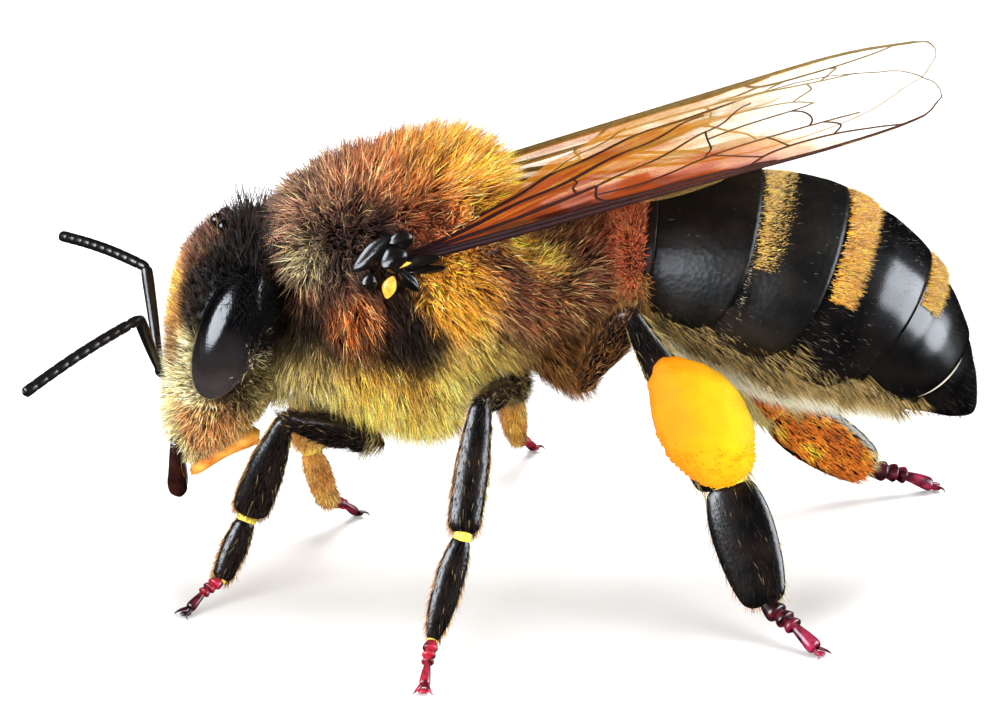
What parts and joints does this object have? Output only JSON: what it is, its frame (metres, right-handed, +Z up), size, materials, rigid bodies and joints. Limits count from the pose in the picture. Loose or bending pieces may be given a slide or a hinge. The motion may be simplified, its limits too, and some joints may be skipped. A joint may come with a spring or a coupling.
{
  "type": "honey bee",
  "caption": "Life-size still model of a worker honey bee standing on its feet, wings folded back, with pollen on its hind legs.",
  "frame": {"origin": "under the middle of the whole model's box, at the level of the soles", "axes": "-X is the way the bee faces, -Y is its left side, +Z is up"},
  "size_m": [0.0148, 0.0108, 0.0086],
  "materials": {
    "dark_coat": "matte plumed hair",
    "tawny_coat": "matte plumed hair",
    "shell": "polished chitin",
    "eye": "polished, finely faceted",
    "feeler": "satin chitin",
    "jaw": "polished chitin",
    "tongue": "amber chitin",
    "leg": "polished chitin with fine hair",
    "foot": "dark red chitin",
    "pollen": "packed damp grains",
    "wing": "clear amber membrane with brown veins"
  },
  "bodies": {
    "root": {"head": "dark_coat", "left_eye": "eye", "left_scape": "feeler", "left_flagellum": "feeler", "left_mandible": "jaw", "right_eye": "eye", "right_scape": "feeler", "right_flagellum": "feeler", "right_mandible": "jaw", "tongue": "tongue", "thorax": "dark_coat", "propodeum": "tawny_coat", "left_tegula": "shell", "right_tegula": "shell", "abdomen_1": "tawny_coat", "abdomen_2": "shell", "abdomen_3": "shell", "abdomen_4": "shell", "abdomen_5": "shell", "abdomen_6": "shell", "left_fore_coxa": "leg", "left_fore_femur": "leg", "left_fore_tibia": "leg", "left_fore_basitarsus": "leg", "left_fore_tarsus": "foot", "left_mid_coxa": "leg", "left_mid_femur": "leg", "left_mid_tibia": "leg", "left_mid_basitarsus": "leg", "left_mid_tarsus": "foot", "left_hind_coxa": "leg", "left_hind_femur": "leg", "left_hind_tibia": "leg", "left_hind_basitarsus": "leg", "left_hind_tarsus": "foot", "left_pollen": "pollen", "left_forewing": "wing", "left_hindwing": "wing", "right_fore_coxa": "leg", "right_fore_femur": "leg", "right_fore_tibia": "leg", "right_fore_basitarsus": "leg", "right_fore_tarsus": "foot", "right_mid_coxa": "leg", "right_mid_femur": "leg", "right_mid_tibia": "leg", "right_mid_basitarsus": "leg", "right_mid_tarsus": "foot", "right_hind_coxa": "leg", "right_hind_femur": "leg", "right_hind_tibia": "leg", "right_hind_basitarsus": "leg", "right_hind_tarsus": "foot", "right_pollen": "pollen", "right_forewing": "wing", "right_hindwing": "wing"}
  },
  "joints": []
}
